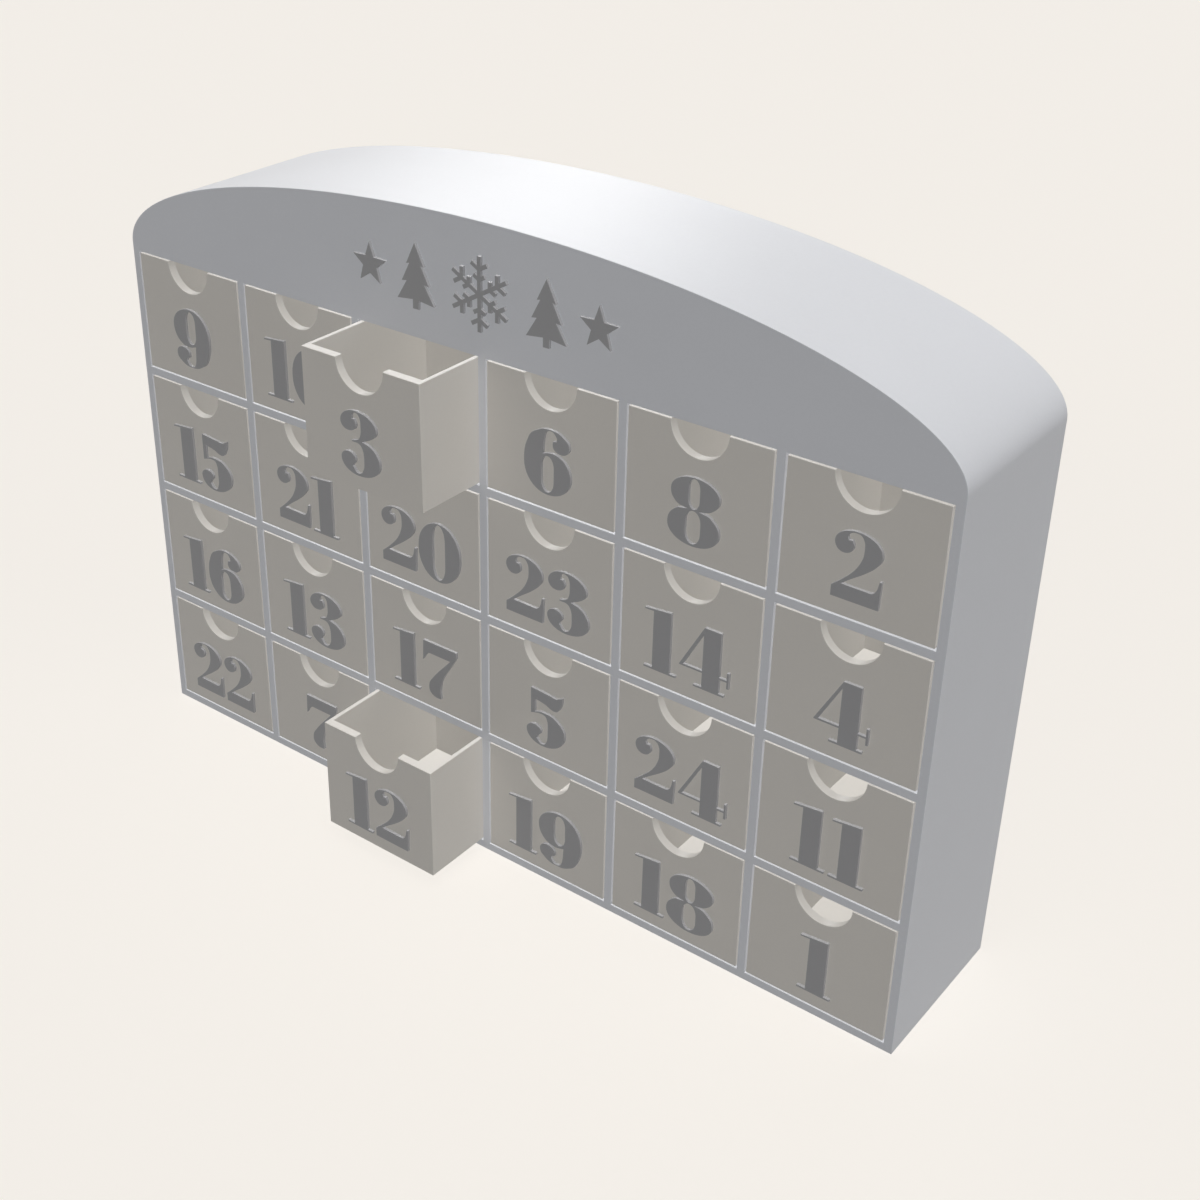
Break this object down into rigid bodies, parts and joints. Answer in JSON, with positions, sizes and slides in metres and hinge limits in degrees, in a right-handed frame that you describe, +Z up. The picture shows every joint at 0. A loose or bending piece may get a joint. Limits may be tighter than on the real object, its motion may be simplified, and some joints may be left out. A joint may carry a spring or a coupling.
{
  "type": "advent calendar cabinet",
  "caption": "Arched tabletop cabinet of thin painted boards with a grid of small numbered drawers, each with a half-round finger notch, that slide out to the front.",
  "frame": {"origin": "middle of the cabinet's underside, between its side faces and between its front and back edges, on the face that it stands on", "axes": "+X along the width, to the right as seen from the front; -Y out of the front, the way that the drawers open; +Z up"},
  "size_m": [0.321, 0.0881, 0.231],
  "materials": {
    "cabinet_paint": "pale cool grey matte paint on thin board",
    "drawer_paint": "warm ivory matte paint on thin board",
    "number_paint": "mid grey matte paint on raised numbers and ornament"
  },
  "bodies": {
    "carcass": {"side_and_arch_band": "cabinet_paint", "base_board": "cabinet_paint", "crown_fascia": "cabinet_paint", "back_panel": "cabinet_paint", "shelf_1": "cabinet_paint", "shelf_2": "cabinet_paint", "shelf_3": "cabinet_paint", "divider_1": "cabinet_paint", "divider_2": "cabinet_paint", "divider_3": "cabinet_paint", "divider_4": "cabinet_paint", "divider_5": "cabinet_paint"},
    "drawer_01": {"drawer_01_front": "drawer_paint", "drawer_01_tray": "drawer_paint"},
    "drawer_02": {"drawer_02_front": "drawer_paint", "drawer_02_tray": "drawer_paint"},
    "drawer_03": {"drawer_03_front": "drawer_paint", "drawer_03_tray": "drawer_paint"},
    "drawer_04": {"drawer_04_front": "drawer_paint", "drawer_04_tray": "drawer_paint"},
    "drawer_05": {"drawer_05_front": "drawer_paint", "drawer_05_tray": "drawer_paint"},
    "drawer_06": {"drawer_06_front": "drawer_paint", "drawer_06_tray": "drawer_paint"},
    "drawer_07": {"drawer_07_front": "drawer_paint", "drawer_07_tray": "drawer_paint"},
    "drawer_08": {"drawer_08_front": "drawer_paint", "drawer_08_tray": "drawer_paint"},
    "drawer_09": {"drawer_09_front": "drawer_paint", "drawer_09_tray": "drawer_paint"},
    "drawer_10": {"drawer_10_front": "drawer_paint", "drawer_10_tray": "drawer_paint"},
    "drawer_11": {"drawer_11_front": "drawer_paint", "drawer_11_tray": "drawer_paint"},
    "drawer_12": {"drawer_12_front": "drawer_paint", "drawer_12_tray": "drawer_paint"},
    "drawer_13": {"drawer_13_front": "drawer_paint", "drawer_13_tray": "drawer_paint"},
    "drawer_14": {"drawer_14_front": "drawer_paint", "drawer_14_tray": "drawer_paint"},
    "drawer_15": {"drawer_15_front": "drawer_paint", "drawer_15_tray": "drawer_paint"},
    "drawer_16": {"drawer_16_front": "drawer_paint", "drawer_16_tray": "drawer_paint"},
    "drawer_17": {"drawer_17_front": "drawer_paint", "drawer_17_tray": "drawer_paint"},
    "drawer_18": {"drawer_18_front": "drawer_paint", "drawer_18_tray": "drawer_paint"},
    "drawer_19": {"drawer_19_front": "drawer_paint", "drawer_19_tray": "drawer_paint"},
    "drawer_20": {"drawer_20_front": "drawer_paint", "drawer_20_tray": "drawer_paint"},
    "drawer_21": {"drawer_21_front": "drawer_paint", "drawer_21_tray": "drawer_paint"},
    "drawer_22": {"drawer_22_front": "drawer_paint", "drawer_22_tray": "drawer_paint"},
    "drawer_23": {"drawer_23_front": "drawer_paint", "drawer_23_tray": "drawer_paint"},
    "drawer_24": {"drawer_24_front": "drawer_paint", "drawer_24_tray": "drawer_paint"}
  },
  "joints": [
    {"name": "drawer_01_slide", "type": "slide", "parent": "carcass", "child": "drawer_01", "axis": [0, -1, 0], "range_m": [0, 0.05]},
    {"name": "drawer_02_slide", "type": "slide", "parent": "carcass", "child": "drawer_02", "axis": [0, -1, 0], "range_m": [0, 0.05]},
    {"name": "drawer_03_slide", "type": "slide", "parent": "carcass", "child": "drawer_03", "axis": [0, -1, 0], "range_m": [-0.0265, 0.0235]},
    {"name": "drawer_04_slide", "type": "slide", "parent": "carcass", "child": "drawer_04", "axis": [0, -1, 0], "range_m": [0, 0.05]},
    {"name": "drawer_05_slide", "type": "slide", "parent": "carcass", "child": "drawer_05", "axis": [0, -1, 0], "range_m": [0, 0.05]},
    {"name": "drawer_06_slide", "type": "slide", "parent": "carcass", "child": "drawer_06", "axis": [0, -1, 0], "range_m": [0, 0.05]},
    {"name": "drawer_07_slide", "type": "slide", "parent": "carcass", "child": "drawer_07", "axis": [0, -1, 0], "range_m": [0, 0.05]},
    {"name": "drawer_08_slide", "type": "slide", "parent": "carcass", "child": "drawer_08", "axis": [0, -1, 0], "range_m": [0, 0.05]},
    {"name": "drawer_09_slide", "type": "slide", "parent": "carcass", "child": "drawer_09", "axis": [0, -1, 0], "range_m": [0, 0.05]},
    {"name": "drawer_10_slide", "type": "slide", "parent": "carcass", "child": "drawer_10", "axis": [0, -1, 0], "range_m": [0, 0.05]},
    {"name": "drawer_11_slide", "type": "slide", "parent": "carcass", "child": "drawer_11", "axis": [0, -1, 0], "range_m": [0, 0.05]},
    {"name": "drawer_12_slide", "type": "slide", "parent": "carcass", "child": "drawer_12", "axis": [0, -1, 0], "range_m": [-0.0265, 0.0235]},
    {"name": "drawer_13_slide", "type": "slide", "parent": "carcass", "child": "drawer_13", "axis": [0, -1, 0], "range_m": [0, 0.05]},
    {"name": "drawer_14_slide", "type": "slide", "parent": "carcass", "child": "drawer_14", "axis": [0, -1, 0], "range_m": [0, 0.05]},
    {"name": "drawer_15_slide", "type": "slide", "parent": "carcass", "child": "drawer_15", "axis": [0, -1, 0], "range_m": [0, 0.05]},
    {"name": "drawer_16_slide", "type": "slide", "parent": "carcass", "child": "drawer_16", "axis": [0, -1, 0], "range_m": [0, 0.05]},
    {"name": "drawer_17_slide", "type": "slide", "parent": "carcass", "child": "drawer_17", "axis": [0, -1, 0], "range_m": [0, 0.05]},
    {"name": "drawer_18_slide", "type": "slide", "parent": "carcass", "child": "drawer_18", "axis": [0, -1, 0], "range_m": [0, 0.05]},
    {"name": "drawer_19_slide", "type": "slide", "parent": "carcass", "child": "drawer_19", "axis": [0, -1, 0], "range_m": [0, 0.05]},
    {"name": "drawer_20_slide", "type": "slide", "parent": "carcass", "child": "drawer_20", "axis": [0, -1, 0], "range_m": [0, 0.05]},
    {"name": "drawer_21_slide", "type": "slide", "parent": "carcass", "child": "drawer_21", "axis": [0, -1, 0], "range_m": [0, 0.05]},
    {"name": "drawer_22_slide", "type": "slide", "parent": "carcass", "child": "drawer_22", "axis": [0, -1, 0], "range_m": [0, 0.05]},
    {"name": "drawer_23_slide", "type": "slide", "parent": "carcass", "child": "drawer_23", "axis": [0, -1, 0], "range_m": [0, 0.05]},
    {"name": "drawer_24_slide", "type": "slide", "parent": "carcass", "child": "drawer_24", "axis": [0, -1, 0], "range_m": [0, 0.05]}
  ]
}
